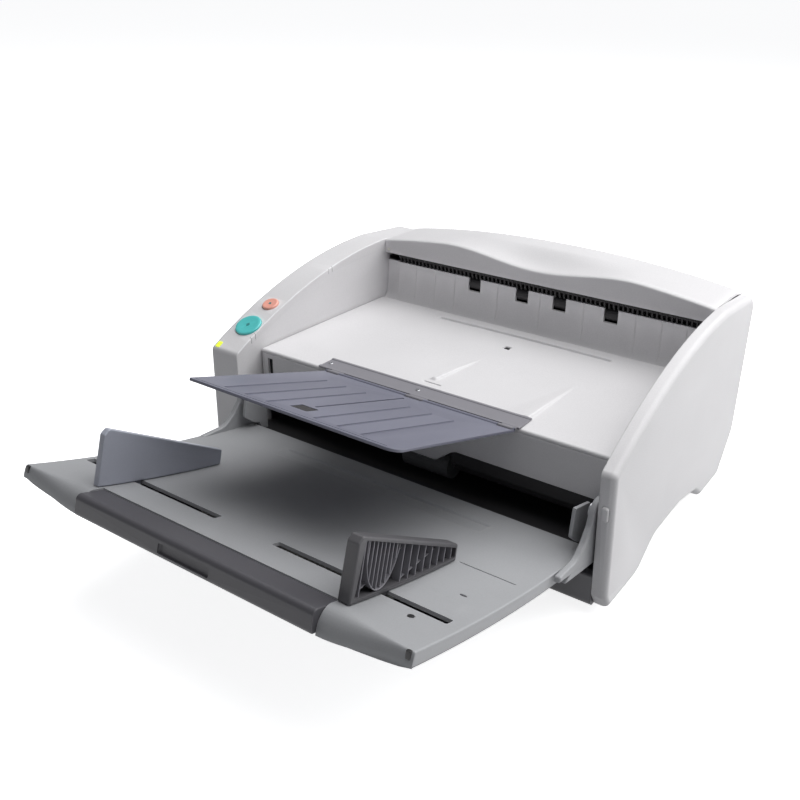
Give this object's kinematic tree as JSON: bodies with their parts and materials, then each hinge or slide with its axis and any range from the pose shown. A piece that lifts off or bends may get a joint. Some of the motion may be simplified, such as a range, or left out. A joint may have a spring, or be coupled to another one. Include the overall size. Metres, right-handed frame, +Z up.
{
  "type": "sheet fed document scanner",
  "caption": "Desktop sheet fed document scanner with a folded-out feed tray, sliding paper guides, an eject flap with a stopper, and an output bed between curved side covers.",
  "frame": {"origin": "centre of the bounding box's underside: the table surface under the middle of the machine with its feed tray folded out", "axes": "+X to the right as seen from the front, +Y to the back, +Z up"},
  "size_m": [0.398, 0.5134, 0.1901],
  "materials": {
    "cover": "fine textured light grey",
    "tray": "fine textured mid grey",
    "flap": "satin blue grey",
    "dark": "matt black",
    "base": "matt dark grey",
    "guide": "satin dark grey",
    "rubber": "matt",
    "roller": "ground rubber on steel shafts",
    "steel": "plated",
    "glass": "clear",
    "start": "satin",
    "stop": "satin",
    "lamp": "translucent",
    "board": "lacquered circuit board",
    "gear": "natural acetal"
  },
  "bodies": {
    "chassis": {"base_frame": "base", "left_cover": "cover", "right_cover": "cover", "top_hood": "cover", "rear_cover": "cover", "lower_front_cover": "base", "foot_front_left": "rubber", "foot_front_right": "rubber", "foot_rear_left": "rubber", "foot_rear_right": "rubber", "feed_base": "dark", "turn_guide": "dark", "inner_guide": "dark", "stacking_wall": "cover", "exit_comb": "dark", "lower_image_sensor": "dark", "lower_sensor_glass": "glass", "left_side_plate": "steel", "right_side_plate": "steel", "retard_holder": "dark", "drive_motor": "steel", "drive_belt": "rubber", "exit_belt": "rubber", "main_board": "board", "control_board": "board", "power_inlet": "dark", "data_port": "steel", "lamp_lens": "lamp", "tray_hinge_pin_left": "steel", "tray_hinge_pin_right": "steel"},
    "upper_unit": {"upper_frame": "dark", "output_floor": "cover", "upper_front_panel": "cover", "flap_hinge_strip": "cover", "flap_hinge_pin": "steel", "feed_belt": "rubber", "upper_image_sensor": "dark", "upper_sensor_glass": "glass"},
    "eject_flap": {"eject_flap": "flap"},
    "flap_stopper": {"flap_stopper": "dark"},
    "feed_tray": {"tray_top": "tray", "tray_belly": "tray"},
    "tray_extension": {"tray_extension": "dark"},
    "guide_left": {"guide_left": "guide", "guide_rack_left": "gear"},
    "guide_right": {"guide_right": "guide", "guide_rack_right": "gear"},
    "guide_pinion": {"guide_pinion": "gear"},
    "main_drive_roller": {"main_drive_roller": "roller"},
    "motor_pulley": {"motor_pulley": "steel"},
    "exit_drive_roller": {"exit_drive_roller": "roller"},
    "idler_roller": {"idler_roller": "roller"},
    "exit_idler_roller": {"exit_idler_roller": "dark"},
    "retard_roller": {"retard_roller": "roller"},
    "feed_roller": {"feed_roller": "roller"},
    "pickup_roller": {"pickup_roller": "roller"},
    "start_button": {"start_button": "start"},
    "stop_button": {"stop_button": "stop"},
    "release_button": {"release_button": "tray"},
    "power_switch": {"power_switch": "dark"}
  },
  "joints": [
    {"name": "feed_tray_fold", "type": "hinge", "parent": "chassis", "child": "feed_tray", "pos_m": [0, -0.02912, 0.084], "axis": [-1, 0, 0], "range_deg": [0, 151.8]},
    {"name": "upper_unit_open", "type": "hinge", "parent": "chassis", "child": "upper_unit", "pos_m": [0, 0.17138, 0.112], "axis": [1, 0, 0], "range_deg": [-35, 0]},
    {"name": "eject_flap_fold", "type": "hinge", "parent": "upper_unit", "child": "eject_flap", "pos_m": [0, -0.01572, 0.1202], "axis": [-1, 0, 0], "range_deg": [0, 161.95]},
    {"name": "flap_stopper_raise", "type": "hinge", "parent": "eject_flap", "child": "flap_stopper", "pos_m": [0, -0.14796, 0.16237], "axis": [-1, 0, 0], "range_deg": [-90, 0]},
    {"name": "tray_extension_slide", "type": "slide", "parent": "feed_tray", "child": "tray_extension", "axis": [0, 0.9673, -0.2538], "range_m": [-0.09, 0]},
    {"name": "guide_left_slide", "type": "slide", "parent": "feed_tray", "child": "guide_left", "axis": [1, 0, 0], "range_m": [-0.042, 0.08]},
    {"name": "guide_right_slide", "type": "slide", "parent": "feed_tray", "child": "guide_right", "axis": [-1, 0, 0], "range_m": [-0.042, 0.08]},
    {"name": "guide_pinion_turn", "type": "hinge", "parent": "feed_tray", "child": "guide_pinion", "pos_m": [0.0055, -0.20152, 0.08694], "axis": [0, 0.2538, 0.9673], "range_deg": [-268, 510]},
    {"name": "main_drive_spin", "type": "hinge", "parent": "chassis", "child": "main_drive_roller", "pos_m": [0, 0.16598, 0.0301], "axis": [1, 0, 0], "continuous": true},
    {"name": "motor_spin", "type": "hinge", "parent": "chassis", "child": "motor_pulley", "pos_m": [0, 0.22088, 0.078], "axis": [1, 0, 0], "continuous": true},
    {"name": "exit_drive_spin", "type": "hinge", "parent": "chassis", "child": "exit_drive_roller", "pos_m": [0, 0.20388, 0.146], "axis": [1, 0, 0], "continuous": true},
    {"name": "idler_spin", "type": "hinge", "parent": "chassis", "child": "idler_roller", "pos_m": [0, 0.16078, 0.0466], "axis": [1, 0, 0], "continuous": true},
    {"name": "exit_idler_spin", "type": "hinge", "parent": "chassis", "child": "exit_idler_roller", "pos_m": [0, 0.19028, 0.1472], "axis": [1, 0, 0], "continuous": true},
    {"name": "retard_spin", "type": "hinge", "parent": "chassis", "child": "retard_roller", "pos_m": [0, 0.04488, 0.0265], "axis": [1, 0, 0], "continuous": true},
    {"name": "feed_spin", "type": "hinge", "parent": "upper_unit", "child": "feed_roller", "pos_m": [0, 0.04488, 0.0496], "axis": [1, 0, 0], "continuous": true},
    {"name": "pickup_spin", "type": "hinge", "parent": "upper_unit", "child": "pickup_roller", "pos_m": [0, 0.01088, 0.0552], "axis": [1, 0, 0], "continuous": true},
    {"name": "start_button_press", "type": "slide", "parent": "chassis", "child": "start_button", "axis": [0, 0.4145, -0.9101], "range_m": [0, 0.0015], "stiffness_N_per_m": 600},
    {"name": "stop_button_press", "type": "slide", "parent": "chassis", "child": "stop_button", "axis": [0, 0.3512, -0.9363], "range_m": [0, 0.0015], "stiffness_N_per_m": 500},
    {"name": "release_button_press", "type": "slide", "parent": "chassis", "child": "release_button", "axis": [0, 1, 0], "range_m": [0, 0.002], "stiffness_N_per_m": 400},
    {"name": "power_switch_rock", "type": "hinge", "parent": "chassis", "child": "power_switch", "pos_m": [-0.0842, 0.23238, 0.057], "axis": [1, 0, 0], "range_deg": [0, 10]}
  ],
  "couplings": [
    {"joint": "eject_flap_fold", "follows": "feed_tray_fold", "ratio": 1.0665},
    {"joint": "guide_right_slide", "follows": "guide_left_slide", "ratio": 1},
    {"joint": "guide_pinion_turn", "follows": "guide_left_slide", "rad_per_m": 111.11},
    {"joint": "motor_spin", "follows": "main_drive_spin", "ratio": 1.2857},
    {"joint": "exit_drive_spin", "follows": "main_drive_spin", "ratio": 1.2857},
    {"joint": "pickup_spin", "follows": "feed_spin", "ratio": 1}
  ]
}
